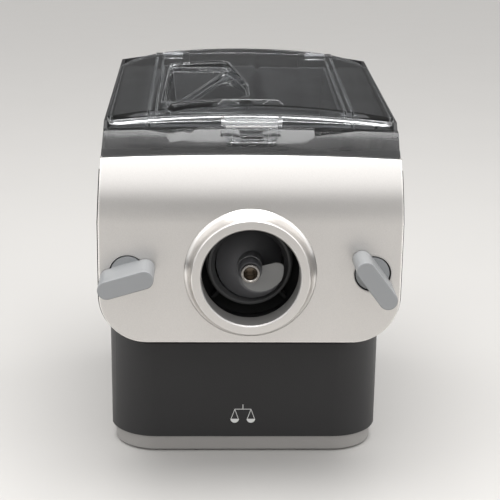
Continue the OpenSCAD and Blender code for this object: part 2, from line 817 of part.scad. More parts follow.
module gearbox_case() {
    color([0.36, 0.37, 0.38]) difference() {
        union() {
            along(76.4, 116) gearbox_outline(0);
            translate([-16, 84, 4.6]) cube([32, 32, 31]);
        }
        along(79, 118) gearbox_outline(wall);
        rod(0, axis_z, 15.1, 70, 90);
        rod(0, motor_z, 12.1, 70, 90);
        rod(lay_x, lay_z, 4.05, 70, 90);
    }
    color([0.36, 0.37, 0.38]) difference() {
        rod(lay_x, lay_z, 8, 78, 81.4);
        rod(lay_x, lay_z, 4.05, 70, 90);
    }
}

module gearbox_cover() {
    color([0.36, 0.37, 0.38]) difference() {
        union() {
            along(116, 118.6) gearbox_outline(0);
            rod(0, axis_z, 12, 113, 118.6);
            rod(lay_x, lay_z, 8, 114, 120.5);
            rod(0, motor_z, 8, 113, 118.6);
        }
        rod(0, axis_z, 6.05, 100, 117);
        rod(lay_x, lay_z, 4.05, 100, 118.5);
        rod(0, motor_z, 4.05, 100, 117);
    }
}

module output_bearing() {
    color([0.7, 0.71, 0.73]) difference() {
        rod(0, axis_z, 15, 75, 81.6);
        rod(0, axis_z, 6.04, 60, 90);
    }
}

// The key board hangs from the control plate; the main board stands on the rear cover's posts.
module circuit_board() {
    color([0.1, 0.35, 0.2]) {
        control_frame() {
            translate([-67, -20, -13]) cube([134, 40, 1.6]);
            translate([-28, 2, -11.5]) cube([56, 16, 7.3]);
            for (i = [0:4]) translate([button_x[i] - 3, button_v - 3, -11.5]) cube([6, 6, 2.6 - key_drop(i)]);
        }
        translate([board_x[0] - 5, board_y, board_z[0] - 5])
            cube([board_x[1] - board_x[0] + 10, 1.6, board_z[1] - board_z[0] + 10]);
        for (dx = [12, 34]) translate([board_x[0] + dx, board_y - 12, 84]) cube([14, 12.5, 20]);
    }
}

// ---- Controls ----

button_v = -10.5;                                      // row of keys, in the plate's frame
button_x = [-57, -28.5, 0, 28.5, 57];
button_r = [6.5, 6, 6, 6, 8];

// The plate is crowned, so the outer keys sit a little lower.
function key_drop(i) = drop_of(button_x[i], lid_crown_r);

board_posts = [[-64, 17], [64, 17], [-43, -17], [43, -17]];

module control_panel() {
    color([0.05, 0.05, 0.05]) control_frame() difference() {
        intersection() {
            control_crown(0);
            union() {
                difference() {
                    translate([0, 0, -20]) linear_extrude(40) rounded_plan(75.6, -26.6, 26.6, 7.6, 7.6);
                    control_crown(-plate_t);
                }
                translate([0, 0, -8.5]) linear_extrude(8) difference() {
                    rounded_plan(69.6, -22.6, 22.6, 4.6, 4.6);
                    rounded_plan(67.6, -20.6, 20.6, 3, 3);
                }
                for (p = board_posts) translate([p[0], p[1], -11.4]) cylinder(r = 2.4, h = 9);
            }
        }
        translate([0, 10, -8]) linear_extrude(16) rounded_plan(30.2, -9.2, 9.2, 2, 2);
        for (i = [0:4]) translate([button_x[i], button_v, -8]) cylinder(r = button_r[i] + 0.35, h = 16);
    }
}

// Tinted window over the display, standing on the display block.
module display_window() {
    color([0.02, 0.02, 0.03]) control_frame() intersection() {
        translate([0, 10, -4.2]) linear_extrude(16) rounded_plan(30, -9, 9, 1.8, 1.8);
        control_crown(-0.1);
    }
}

// A key: a crowned cap, a flange under the plate and a plunger over its switch.
module key(i) {
    control_frame() translate([button_x[i], button_v, -key_drop(i)]) {
        translate([0, 0, -3.4]) cylinder(r = button_r[i], h = 4);
        intersection() {
            cylinder(r = button_r[i] - 0.3, h = 2);
            translate([0, 0, 1.3 - 40]) sphere(r = 40, $fn = 180);
        }
        translate([0, 0, -4.4]) cylinder(r = button_r[i] + 1, h = 1.4);
        translate([0, 0, -7.4]) cylinder(r = 2, h = 4);
    }
}

module power_button() { color([0.75, 0.75, 0.76]) key(0); }
module program_button() { color([0.3, 0.3, 0.31]) key(1); }
module weigh_button() { color([0.3, 0.3, 0.31]) key(2); }
module extrude_button() { color([0.3, 0.3, 0.31]) key(3); }
module start_button() { color([0.75, 0.75, 0.76]) key(4); }

// Switch that senses the closed lid, under the deck.
module lid_switch() {
    color([0.1, 0.1, 0.1]) lid_frame() {
        translate([85.6, 6.4, -19.6]) cube([8.8, 14.8, 10]);
        translate([89, 9, -10]) cube([2, 4, 6.4]);
    }
}

// ---- Knobs ----

// Stadium bar that narrows from radius r1 at z1 to r2 at z2.
module tapered_bar(half, r1, r2, z1, z2) {
    for (side = [-1, 1]) translate([side * half, 0, z1]) cylinder(r1 = r1, r2 = r2, h = z2 - z1);
    rotate([90, 0, 90]) linear_extrude(2 * half, center = true)
        polygon([[-r1, z1], [r1, z1], [r2, z2], [-r2, z2]]);
}

// Wing knob in its own frame: it points out along +Z and its wing lies along X. The wing
// starts just in front of the panel, and its neck joins it to the base in the panel.
module wing_knob() {
    half = (wing_l - wing_w) / 2;
    r = wing_w / 2;
    edge = 0.45;
    draft = 0.25;
    translate([0, 0, -2.5]) cylinder(r = knob_base_r, h = 1.7);
    translate([0, 0, -0.9]) cylinder(r1 = knob_base_r, r2 = knob_base_r - 0.5, h = 0.5);
    intersection() {
        tapered_bar(half, r + draft, r + draft, -1, 1);
        cylinder(r = knob_base_r - 0.6, h = 4, center = true);
    }
    tapered_bar(half, r + draft, r, 0.6, knob_reach - edge);
    tapered_bar(half, r, r - edge, knob_reach - edge, knob_reach);
}

module knob_place(side, tilt) {
    translate([side * knob_x, panel_y, axis_z]) rotate([90, 0, 0]) rotate(tilt) children();
}

// Quarter-turn cam on the knob's stem, behind the housing's front wall.
module knob_cam() {
    translate([0, 0, -16]) cylinder(r = 5, h = 13.5);
    translate([0, 0, -15]) linear_extrude(4) stadium(26, 9);
}

module left_knob() { color([0.6, 0.6, 0.6]) knob_place(-1, left_wing_tilt) wing_knob(); }
module left_knob_cam() { color([0.4, 0.4, 0.41]) knob_place(-1, left_wing_tilt) knob_cam(); }
module right_knob() { color([0.6, 0.6, 0.6]) knob_place(1, -right_wing_tilt) wing_knob(); }
module right_knob_cam() { color([0.4, 0.4, 0.41]) knob_place(1, -right_wing_tilt) knob_cam(); }

// ---- Lid ----

// Plan of the water funnel, in the lid's frame. Its right side bows out to the front.
function funnel_plan(inset) = concat(
    arc(-57, 38, 9 - inset, 180, 270, 5),
    arc(-18, 48, 18 - inset, 275, 355, 7),
    [[-0.2 - inset, 80], [-4 - inset, 108]],
    arc(-22, 157, 9 - inset, 15, 90, 5),
    arc(-56, 159, 7 - inset, 90, 180, 5));

// A crease crosses the funnel from corner to corner. On its right is a ramp, on its left a
// pit whose floor runs down to the spout at the front.
crease_x = -54;
crease_y0 = 38;
crease_turn = -18.4;
ramp_tilt = 8.5;
pit_fall = 4.4;
pit_lean = 55;
module crease_frame() {
    translate([crease_x, crease_y0, 0]) rotate(crease_turn) children();
}

// Hollow of the pit. grow widens it by the thickness of its floor.
module pit_form(grow) {
    intersection() {
        translate([0, 0, -10]) linear_extrude(40) polygon(funnel_plan(1.6 - grow));
        crease_frame() translate([-100, -60, -20]) cube([100, 260, 60]);
        translate([-80, 166, 5 - grow]) rotate([pit_fall, 0, 0]) translate([0, -220, 0])
            cube([90, 260, 60]);
        translate([-62.2 - grow, 0, 9]) rotate([0, pit_lean - 90, 0]) translate([0, 0, -40])
            cube([90, 260, 90]);
    }
}

module funnel_floor() {
    intersection() {
        lid_form(0.6);
        translate([0, 0, -10]) linear_extrude(40) polygon(funnel_plan(0.8));
        union() {
            crease_frame() {
                rotate([0, -ramp_tilt, 0]) translate([0, -60, -1]) cube([90, 260, 1.8]);
                translate([-1, -60, -6]) cube([2.2, 260, 10.4]);
            }
            difference() {
                pit_form(1.6);
                pit_form(0);
                translate([-61.5, 36, -12]) cube([5, 18, 16]);
            }
        }
    }
}

// Lugs on the front rim that hold the latch pin.
module latch_lugs() {
    for (side = [-1, 1]) translate([side * 20.2, 0, 0]) across(2.4) {
        translate([latch_y, latch_z]) circle(3.1);
        polygon([[latch_y, latch_z + 3.1], [latch_y + 1.6, latch_z - 2.6], [lid_y + 1, lid_corner_z + 2],
            [lid_y + 1, lid_corner_z + 5.2], [lid_y - 3, lid_corner_z + 5.6]]);
    }
}

// Outer form of the lid: a crown that bends down in front to a lower rim.
lid_bend_y = 12.5;
lid_bend = 23;
module lid_form(inset) {
    intersection() {
        translate([0, 0, -5]) linear_extrude(34)
            rounded_plan(lid_w / 2 - inset, inset, lid_l - inset, 9 - inset, lid_rear_r - inset);
        crown(lid_crown_r, lid_crest - inset);
        translate([0, lid_bend_y, lid_crest]) rotate([lid_bend, 0, 0]) crown(900, -inset);
    }
}

module lid_skin() {
    difference() {
        lid_form(0);
        lid_form(lid_wall);
        crown(skirt_crown_r, skirt_rise);
        intersection() {
            crown(rim_crown_r, rim_rise);
            translate([-200, 4, -100]) cube([400, 400, 200]);
        }
        translate([0, 0, -5]) linear_extrude(40) polygon(funnel_plan(1.6));
    }
}

// Ribs that reach down over and beside the chamber walls, and the wall of the funnel.
module lid_ribs() {
    intersection() {
        lid_form(0);
        union() {
            for (side = [-1, 1]) {
                translate([side * 72.5 - 0.9, 8, -4.6]) cube([1.8, 190, 40]);
                translate([side * 67.3 - 0.7, 8, -0.6]) cube([1.4, 190, 40]);
            }
            translate([0, 0, -0.6]) linear_extrude(40) difference() {
                polygon(funnel_plan(0));
                polygon(funnel_plan(1.8));
            }
        }
    }
}

module lid_shell() {
    color([0.85, 0.88, 0.9, 0.35]) difference() {
        union() {
            lid_frame() {
                lid_skin();
                lid_ribs();
                funnel_floor();
                for (side = [-1, 1]) {
                    translate([side * 60 - 8, hinge_y, hinge_z]) rotate([0, 90, 0]) cylinder(r = 3.4, h = 16);
                    translate([side * 60 - 8, hinge_y - 3.4, hinge_z]) cube([16, 6, 3]);
                }
            }
            latch_lugs();
        }
        lid_frame() for (side = [-1, 1]) {
            for (x = hinge_lugs) translate([side * x - 3.1, hinge_y - 4.2, -5]) cube([6.2, 20, 12.9]);
            translate([side * 60 - 20, hinge_y, hinge_z]) rotate([0, 90, 0]) cylinder(r = 1.5, h = 40);
        }
        translate([-30, latch_y, latch_z]) rotate([0, 90, 0]) cylinder(r = 1.2, h = 60);
    }
}

module lid_hinge_pins() {
    color([0.75, 0.75, 0.76]) lid_frame() for (side = [-1, 1])
        translate([side * 60 - 13.5, hinge_y, hinge_z]) rotate([0, 90, 0]) cylinder(r = 1.5, h = 27);
}

module latch_pin() {
    color([0.75, 0.75, 0.76]) translate([-21.4, latch_y, latch_z]) rotate([0, 90, 0])
        cylinder(r = 1.2, h = 42.8);
}

module lid_latch() {
    flap_y = latch_y - 7;
    color([0.85, 0.88, 0.9, 0.5]) difference() {
        union() {
            translate([-18.5, latch_y, latch_z]) rotate([0, 90, 0]) cylinder(r = 3, h = 37);
            across(36) polygon([[flap_y, 280], [flap_y, 285.2], [latch_y - 4, 286.8], [latch_y, 286.8],
                [latch_y, 281.2], [flap_y + 2.6, 280]]);
            along(flap_y, flap_y + 2.6) rounded_plan(18, 270.7, 284, 3.4, 0.5);
            translate([-8, flap_y + 2.4, 272.7]) cube([16, 2.2, 2.2]);
            for (side = [-1, 1]) translate([side * 12.6 - 0.8, flap_y + 2.4, 272]) cube([1.6, 2, 10]);
        }
        translate([-30, latch_y, latch_z]) rotate([0, 90, 0]) cylinder(r = 1.25, h = 60);
    }
}

base_tray();
rubber_feet();
load_cells();
base_screws();
main_housing();
top_frame();
rear_top_cover();
rear_cover();
rear_cover_screws();
front_window();
front_panel();
panel_ring();
mixing_chamber();
chamber_seal();
extrusion_tube();
shaft_seal();
motor_case();
motor_gearhead();
motor_cradle();
gearbox_case();
gearbox_cover();
output_bearing();
circuit_board();
control_panel();
display_window();
power_inlet();
lid_switch();
drive_shaft();
output_gear();
stirring_bar();
extrusion_screw();
screw_bush();
layshaft_pin();
layshaft_gears();
motor_shaft();
motor_pinion();
left_knob();
left_knob_cam();
right_knob();
right_knob_cam();
lid_shell();
lid_hinge_pins();
latch_pin();
lid_latch();
power_button();
start_button();
program_button();
weigh_button();
extrude_button();
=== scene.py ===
import json
import math

import bmesh
import bpy
from mathutils import Matrix, Vector
from mathutils.bvhtree import BVHTree


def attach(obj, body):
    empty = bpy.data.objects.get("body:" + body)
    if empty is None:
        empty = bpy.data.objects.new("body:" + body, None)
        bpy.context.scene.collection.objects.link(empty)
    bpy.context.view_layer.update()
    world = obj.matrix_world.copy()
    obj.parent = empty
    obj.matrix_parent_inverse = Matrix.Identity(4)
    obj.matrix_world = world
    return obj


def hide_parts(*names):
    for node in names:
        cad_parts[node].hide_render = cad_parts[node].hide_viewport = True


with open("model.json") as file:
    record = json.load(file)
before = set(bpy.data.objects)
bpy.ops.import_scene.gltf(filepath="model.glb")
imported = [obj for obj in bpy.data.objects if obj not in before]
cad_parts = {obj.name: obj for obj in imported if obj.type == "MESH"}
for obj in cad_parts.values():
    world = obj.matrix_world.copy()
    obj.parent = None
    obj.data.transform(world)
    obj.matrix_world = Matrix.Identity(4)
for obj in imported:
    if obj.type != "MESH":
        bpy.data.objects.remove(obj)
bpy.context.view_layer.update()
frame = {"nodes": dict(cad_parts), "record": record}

nodes = frame["nodes"]
mm = 0.001  # the settings of pieces and signs are in millimetres

cameraSettings = {
    "place": (-0.0324, -1.0604, 0.4696),
    "pitch": -16.6,
    "yaw": 1.99,
    "roll": 0.81,
    "lens": 97.6,
    "sensor": 36,
}


def makeCamera(s):
    pitch, yaw, roll = (math.radians(s[k]) for k in ("pitch", "yaw", "roll"))
    look = Vector((math.sin(yaw) * math.cos(pitch), math.cos(yaw) * math.cos(pitch), math.sin(pitch)))
    right = Vector((math.cos(yaw), -math.sin(yaw), 0))
    up = right.cross(look)
    rightTurned = right * math.cos(roll) + up * math.sin(roll)
    upTurned = up * math.cos(roll) - right * math.sin(roll)
    data = bpy.data.cameras.new("camera")
    data.lens = s["lens"]
    data.sensor_width = s["sensor"]
    camera = bpy.data.objects.new("camera", data)
    bpy.context.scene.collection.objects.link(camera)
    turn = Matrix((rightTurned, upTurned, -look)).transposed().to_4x4()
    camera.matrix_world = Matrix.Translation(s["place"]) @ turn
    bpy.context.scene.camera = camera


makeCamera(cameraSettings)
print("camera set")


# Links a socket to what comes from another node, or gives it a plain value.
def feed(socket, value):
    if isinstance(value, bpy.types.NodeSocket):
        socket.id_data.links.new(value, socket)
    else:
        socket.default_value = value


# Parts go to the node's sockets in their order, values to its settings or to sockets by label.
def addNode(tree, kind, *parts, **values):
    made = tree.nodes.new(kind)
    for key, value in values.items():
        if hasattr(made, key):
            setattr(made, key, value)
        else:
            feed(made.inputs[key], value)
    for socket, part in zip(made.inputs, parts):
        feed(socket, part)
    return made


def addMath(tree, operation, *parts):
    return addNode(tree, "ShaderNodeMath", *parts, operation=operation).outputs[0]


def addVector(tree, operation, *parts, output="Vector", **values):
    return addNode(tree, "ShaderNodeVectorMath", *parts, operation=operation, **values).outputs[output]


def addRamp(tree, source, low, high, start=0.0, end=1.0, blend="LINEAR"):
    made = addNode(tree, "ShaderNodeMapRange", interpolation_type=blend, Value=source)
    for label, value in (("From Min", low), ("From Max", high), ("To Min", start), ("To Max", end)):
        made.inputs[label].default_value = value
    return made.outputs[0]


def addMix(tree, factor, a, b, kind="RGBA"):
    return addNode(tree, "ShaderNodeMix", data_type=kind, Factor=factor, A=a, B=b).outputs["Result"]


def rgba(colour, gain=1.0, lift=0.0):
    return tuple(min(1, c * gain + lift) for c in colour) + (1,)


def newGroup(name, inputs, outputs):
    group = bpy.data.node_groups.new(name, "ShaderNodeTree")
    for label, value in inputs.items():
        socket = group.interface.new_socket(label, in_out="INPUT", socket_type="NodeSocketFloat")
        socket.default_value = value
    for label, kind in outputs.items():
        group.interface.new_socket(label, in_out="OUTPUT", socket_type=kind)
    return group, group.nodes.new("NodeGroupInput").outputs, group.nodes.new("NodeGroupOutput").inputs


grainSettings = {
    "detail": 3.0,
    "roughness": 0.6,
    "pitDepth": 0.5,  # of the pits between the grains, against the grain's own height
    "cloudScale": 11.0,
    "cloudDetail": 2.0,
}


# Fine moulded or blasted texture: a mask, a wide cloudy mask and a height.
def makeGrainGroup(s):
    group, start, end = newGroup(
        "mouldGrain",
        {"Scale": 900.0, "Stretch": 1.0},
        {"Mask": "NodeSocketFloat", "Cloud": "NodeSocketFloat", "Height": "NodeSocketFloat"},
    )
    place = addNode(group, "ShaderNodeTexCoord").outputs["Object"]
    stretch = addNode(group, "ShaderNodeCombineXYZ", start["Stretch"], 1.0, 1.0).outputs[0]
    scaled = addVector(group, "MULTIPLY", place, stretch)
    fine = addNode(group, "ShaderNodeTexNoise", Vector=scaled, Scale=start["Scale"], Detail=s["detail"],
                   Roughness=s["roughness"]).outputs[0]
    pits = addNode(group, "ShaderNodeTexVoronoi", Vector=scaled, Scale=start["Scale"]).outputs["Distance"]
    cloud = addNode(group, "ShaderNodeTexNoise", Vector=place, Scale=s["cloudScale"],
                    Detail=s["cloudDetail"]).outputs[0]
    feed(end["Mask"], fine)
    feed(end["Cloud"], cloud)
    feed(end["Height"], addMath(group, "MULTIPLY_ADD", pits, s["pitDepth"], fine))
    return group


edgeSettings = {
    "samples": 6,
    "flat": 0.995,  # cosine between face and rounded edge where rubbing and the painted highlight start
    "wornHighlightedEdge": 0.8,  # and where they are full
    "detail": 3.0,
}


# Rounded-looking edges, and a mask of the rounded edges, used for rubbed wear and for a painted edge
# highlight.
def makeEdgeGroup(s):
    group, start, end = newGroup(
        "softEdge",
        {"Radius": 0.0006, "Breakup": 160.0},
        {"Normal": "NodeSocketVector", "WearHighlightMask": "NodeSocketFloat"},
    )
    rounded = addNode(group, "ShaderNodeBevel", samples=s["samples"], Radius=start["Radius"]).outputs[0]
    face = addNode(group, "ShaderNodeNewGeometry").outputs["Normal"]
    turned = addVector(group, "DOT_PRODUCT", rounded, face, output="Value")
    place = addNode(group, "ShaderNodeTexCoord").outputs["Object"]
    noise = addNode(group, "ShaderNodeTexNoise", Vector=place, Scale=start["Breakup"],
                    Detail=s["detail"]).outputs[0]
    feed(end["Normal"], rounded)
    feed(end["WearHighlightMask"], addMath(group, "MULTIPLY", addRamp(group, turned, s["flat"], s["wornHighlightedEdge"]), noise))
    return group


grainGroup = makeGrainGroup(grainSettings)
edgeGroup = makeEdgeGroup(edgeSettings)


def newMaterial(name):
    material = bpy.data.materials.new(name)
    material.use_nodes = True
    return material, material.node_tree, material.node_tree.nodes["Principled BSDF"]


# What all solid finishes share.
solidFinish = {
    "coatRough": 0.08,
    "leastRough": 0.02,
    "grainDepth": 0.0002,
    "paleEdgeGain": 1.5,  # a rubbed edge, and an edge with a painted highlight, is paler by this factor,
    "paleEdgeLift": 0.03,  # and by this much more, so that it shows on black too
}


# A solid finish: base colour with slight clouding and grain, lighter edges for rubbed wear and a painted
# highlight, grain bump.
def makeFinish(name, colour, rough, metal=0.0, grain=900.0, bump=0.15, cloud=0.06, speck=0.05, wearAndHighlight=0.25,
               coat=0.0, edge=0.0006, stretch=1.0, specular=0.5, roughSpread=0.06):
    s = solidFinish
    material, tree, shader = newMaterial(name)
    shader.inputs["Metallic"].default_value = metal
    shader.inputs["Specular IOR Level"].default_value = specular
    shader.inputs["Coat Weight"].default_value = coat
    shader.inputs["Coat Roughness"].default_value = s["coatRough"]
    grains = addNode(tree, "ShaderNodeGroup", node_tree=grainGroup, Scale=grain, Stretch=stretch).outputs
    edges = addNode(tree, "ShaderNodeGroup", node_tree=edgeGroup, Radius=edge).outputs
    clouded = addMix(tree, grains["Cloud"], rgba(colour, 1 - cloud), rgba(colour, 1 + cloud))
    specks = addRamp(tree, grains["Mask"], 0, 1, 1 - speck, 1 + speck)
    speckled = addVector(tree, "SCALE", clouded, Scale=specks)
    wornHighlightedEdge = addMath(tree, "MULTIPLY", edges["WearHighlightMask"], wearAndHighlight)
    wornHighlightColour = rgba(colour, s["paleEdgeGain"], s["paleEdgeLift"])
    feed(shader.inputs["Base Color"], addMix(tree, wornHighlightedEdge, speckled, wornHighlightColour))
    smoothest, roughest = max(s["leastRough"], rough - roughSpread), min(1, rough + roughSpread)
    feed(shader.inputs["Roughness"], addRamp(tree, grains["Cloud"], 0, 1, smoothest, roughest))
    grainy = addNode(tree, "ShaderNodeBump", Strength=bump, Distance=s["grainDepth"], Height=grains["Height"],
                     Normal=edges["Normal"])
    feed(shader.inputs["Normal"], grainy.outputs[0])
    return material


# What all clear plastic shares.
clearPlastic = {
    "ior": 1.5,
    "roughSpread": 0.03,
    "streak": 0.94,  # darkest cloud against the tint
    "wave": 0.12,
    "waveScale": 60.0,
    "waveDepth": 0.002,
    "edge": 0.00045,
    "edgeBreakup": 90.0,
    # colour of the painted edge highlight, from the tint
    "edgeGain": 0.6,
    "edgeLift": 0.35,
    "hinge": (0.078, 0.084),  # along Y, from where the painted edge highlight dims to where it is dimmed
    "hingeGlow": 0.3,
}


# Clear or tinted plastic: its edges get a painted highlight, a pale diffuse mixed in, less so at the hinge,
# its faces are a little wavy, and lamps shine through it to what it covers.
def makeClear(name, tint, rough, shade, edgeGlow=0.5):
    s = clearPlastic
    material, tree, shader = newMaterial(name)
    shader.inputs["Transmission Weight"].default_value = 1.0
    shader.inputs["IOR"].default_value = s["ior"]
    waves = addNode(tree, "ShaderNodeGroup", node_tree=grainGroup, Scale=s["waveScale"]).outputs
    edges = addNode(tree, "ShaderNodeGroup", node_tree=edgeGroup, Radius=s["edge"],
                    Breakup=s["edgeBreakup"]).outputs
    feed(shader.inputs["Base Color"], addMix(tree, waves["Cloud"], rgba(tint), rgba(tint, s["streak"])))
    feed(shader.inputs["Roughness"], addRamp(tree, waves["Mask"], 0, 1, rough, rough + s["roughSpread"]))
    wavy = addNode(tree, "ShaderNodeBump", Strength=s["wave"], Distance=s["waveDepth"], Height=waves["Cloud"],
                   Normal=edges["Normal"])
    feed(shader.inputs["Normal"], wavy.outputs[0])
    place = addNode(tree, "ShaderNodeTexCoord").outputs["Object"]
    along = addNode(tree, "ShaderNodeSeparateXYZ", place).outputs["Y"]
    dimmed = addMath(tree, "MULTIPLY", edges["WearHighlightMask"],
                     addRamp(tree, along, *s["hinge"], 1.0, s["hingeGlow"], blend="SMOOTHSTEP"))
    glow = addNode(tree, "ShaderNodeMath", dimmed, edgeGlow, operation="MULTIPLY", use_clamp=True).outputs[0]
    # pale diffuse on the edges: a painted highlight where real plastic edges catch the light
    paintedEdgeHighlight = addNode(tree, "ShaderNodeBsdfDiffuse", Color=rgba(tint, s["edgeGain"], s["edgeLift"])).outputs[0]
    edged = addNode(tree, "ShaderNodeMixShader", glow, shader.outputs[0], paintedEdgeHighlight).outputs[0]
    shadows = addNode(tree, "ShaderNodeLightPath").outputs["Is Shadow Ray"]
    through = addNode(tree, "ShaderNodeBsdfTransparent", Color=rgba(shade)).outputs[0]
    mixed = addNode(tree, "ShaderNodeMixShader", shadows, edged, through).outputs[0]
    feed(tree.nodes["Material Output"].inputs["Surface"], mixed)
    return material


finishes = {
    "dark_housing": makeFinish("darkHousing", (0.02, 0.0195, 0.02), 0.42, grain=1400, bump=0.35,
                               speck=0.12, specular=0.35),
    # Its strong edge lightening, 3.0 over 1.8 mm, is a painted highlight along the panel's rounded edges.
    "silver_panel": makeFinish("silverPaint", (0.62, 0.6, 0.58), 0.31, metal=0.9, grain=1050, bump=0.12,
                               cloud=0.015, speck=0.11, wearAndHighlight=3.0, edge=0.0018, stretch=2.5, roughSpread=0.02),
    "polished_ring": makeFinish("polishedRing", (0.62, 0.6, 0.58), 0.31, metal=0.95, grain=1900, bump=0.06,
                                cloud=0.02, speck=0.05, wearAndHighlight=0.2, stretch=2.5, roughSpread=0.02),
    "grey_base": makeFinish("greyBase", (0.26, 0.25, 0.24), 0.4, grain=1400, bump=0.2),
    "knob_grey": makeFinish("knobGrey", (0.215, 0.22, 0.225), 0.4, grain=1500, bump=0.12, speck=0.03),
    "smoked_window": makeClear("smokedWindow", (0.18, 0.18, 0.18), 0.13, (0.25, 0.25, 0.25), edgeGlow=0.3),
    "clear_lid": makeClear("clearLid", (0.95, 0.96, 0.97), 0.012, (0.85, 0.87, 0.87)),
    "dark_grey_plastic": makeFinish("darkGreyPlastic", (0.04, 0.04, 0.042), 0.38, grain=1200, bump=0.15),
    "black_gloss": makeFinish("blackGloss", (0.012, 0.012, 0.013), 0.14, grain=500, bump=0.02, coat=0.5),
    "key_grey": makeFinish("keyGrey", (0.16, 0.16, 0.165), 0.4),
    "key_silver": makeFinish("keySilver", (0.5, 0.5, 0.51), 0.35, metal=0.4),
    "black_rubber": makeFinish("blackRubber", (0.02, 0.02, 0.02), 0.75, grain=800, bump=0.3),
    "steel": makeFinish("turnedSteel", (0.55, 0.55, 0.56), 0.3, metal=1.0, grain=900, bump=0.05),
    "bright_steel": makeFinish("brightSteel", (0.25, 0.235, 0.22), 0.2, metal=1.0, grain=900, bump=0.02,
                               wearAndHighlight=0.1),
    "screw_grey": makeFinish("screwGrey", (0.1, 0.1, 0.105), 0.34, grain=900, bump=0.12),
    "stirrer_grey": makeFinish("stirrerGrey", (0.1, 0.1, 0.105), 0.42),
    "motor_steel": makeFinish("motorSteel", (0.3, 0.31, 0.32), 0.4, metal=0.6),
    "gearbox_grey": makeFinish("gearboxGrey", (0.1, 0.105, 0.11), 0.5, grain=1000, bump=0.3),
    "white_gear": makeFinish("acetalGear", (0.7, 0.67, 0.55), 0.45),
    "brass_gear": makeFinish("brassGear", (0.5, 0.36, 0.12), 0.3, metal=1.0),
    "circuit_green": makeFinish("circuitGreen", (0.01, 0.1, 0.035), 0.3, coat=0.3),
    "black_plastic": makeFinish("blackPlastic", (0.01, 0.01, 0.01), 0.4),
    # Finishes of single pieces within one of the slots above: the latch, the tube and the pale print.
    "clearLatch": makeClear("clearLatch", (0.93, 0.94, 0.95), 0.03, (0.9, 0.9, 0.9), edgeGlow=0.4),
    "tubeGrey": makeFinish("tubeGrey", (0.036, 0.036, 0.037), 0.38, grain=1200, bump=0.15),
    "printPale": makeFinish("printPale", (0.62, 0.62, 0.61), 0.5, grain=1500, bump=0.05, wearAndHighlight=0),
}

tubeHeight = 0.179  # of the axes of the tube and of both knobs
knobAside = 0.087  # from the tube's axis to either knob's
tintBlur = 0.0001  # half the width over which a tint fades out

# A colour for part of a finish, mostly painted shade and painted light: within a radius of the tube's axis,
# or of the knobs' axes beside it, outside that radius, or in front of a plane across Y.
paintedLightAndTints = [
    # inner slope of the ring, walls of the panel's knob holes, bore of the bush: darker, painted shade in
    # these hollows
    {"on": "polished_ring", "colour": (0.38, 0.37, 0.36), "radius": 0.0359, "rough": 0.5},
    # near black: painted shade in the gaps around the knobs
    {"on": "silver_panel", "colour": (0.03, 0.03, 0.03), "radius": 0.01312, "rough": 0.6, "aside": knobAside},
    # darker and warm: painted shade in the bore, warm like the brass end inside it
    {"on": "bright_steel", "colour": (0.13, 0.105, 0.08), "radius": 0.0048},
    # outer part of the tube's flange, cut end of the screw's flight, nose of the screw
    # near black and rough: painted shade deep in the ring around the tube
    {"on": "tubeGrey", "colour": (0.005, 0.005, 0.005), "radius": 0.0322, "rough": 0.7, "outside": True},
    # lighter: painted light on the flight's cut end, which faces the front
    {"on": "screw_grey", "colour": (0.19, 0.19, 0.187), "front": -0.1322},
    {"on": "screw_grey", "colour": (0.055, 0.055, 0.058), "radius": 0.0089},
]


def tintPart(s):
    tree = finishes[s["on"]].node_tree
    shader = tree.nodes["Principled BSDF"]
    place = addNode(tree, "ShaderNodeTexCoord").outputs["Object"]
    if "radius" in s:
        folded = addVector(tree, "ABSOLUTE", place)
        centred = addVector(tree, "SUBTRACT", folded, (s.get("aside", 0), 0, tubeHeight))
        flat = addVector(tree, "MULTIPLY", centred, (1, 0, 1))
        value, limit = addVector(tree, "LENGTH", flat, output="Value"), s["radius"]
    else:
        value, limit = addNode(tree, "ShaderNodeSeparateXYZ", place).outputs["Y"], s["front"]
    blur = -tintBlur if s.get("outside") else tintBlur
    mask = addRamp(tree, value, limit + blur, limit - blur)
    changes = [("Base Color", "RGBA", rgba(s["colour"]))]
    if "rough" in s:
        changes.append(("Roughness", "FLOAT", s["rough"]))
    for label, kind, setting in changes:
        before = shader.inputs[label].links[0].from_socket
        feed(shader.inputs[label], addMix(tree, mask, before, setting, kind))


for s in paintedLightAndTints:
    tintPart(s)
print("finishes made:", len(finishes), "with", len(paintedLightAndTints), "paintedLightAndTints")

ownFinishes = {"extrusion_tube": "tubeGrey"}  # nodes whose finish isn't the one named like their slot
for part in frame["record"]["subparts"]:
    material = finishes[ownFinishes.get(part["node"], part["material_slot"])]
    data = nodes[part["node"]].data
    data.materials.clear()
    data.materials.append(material)

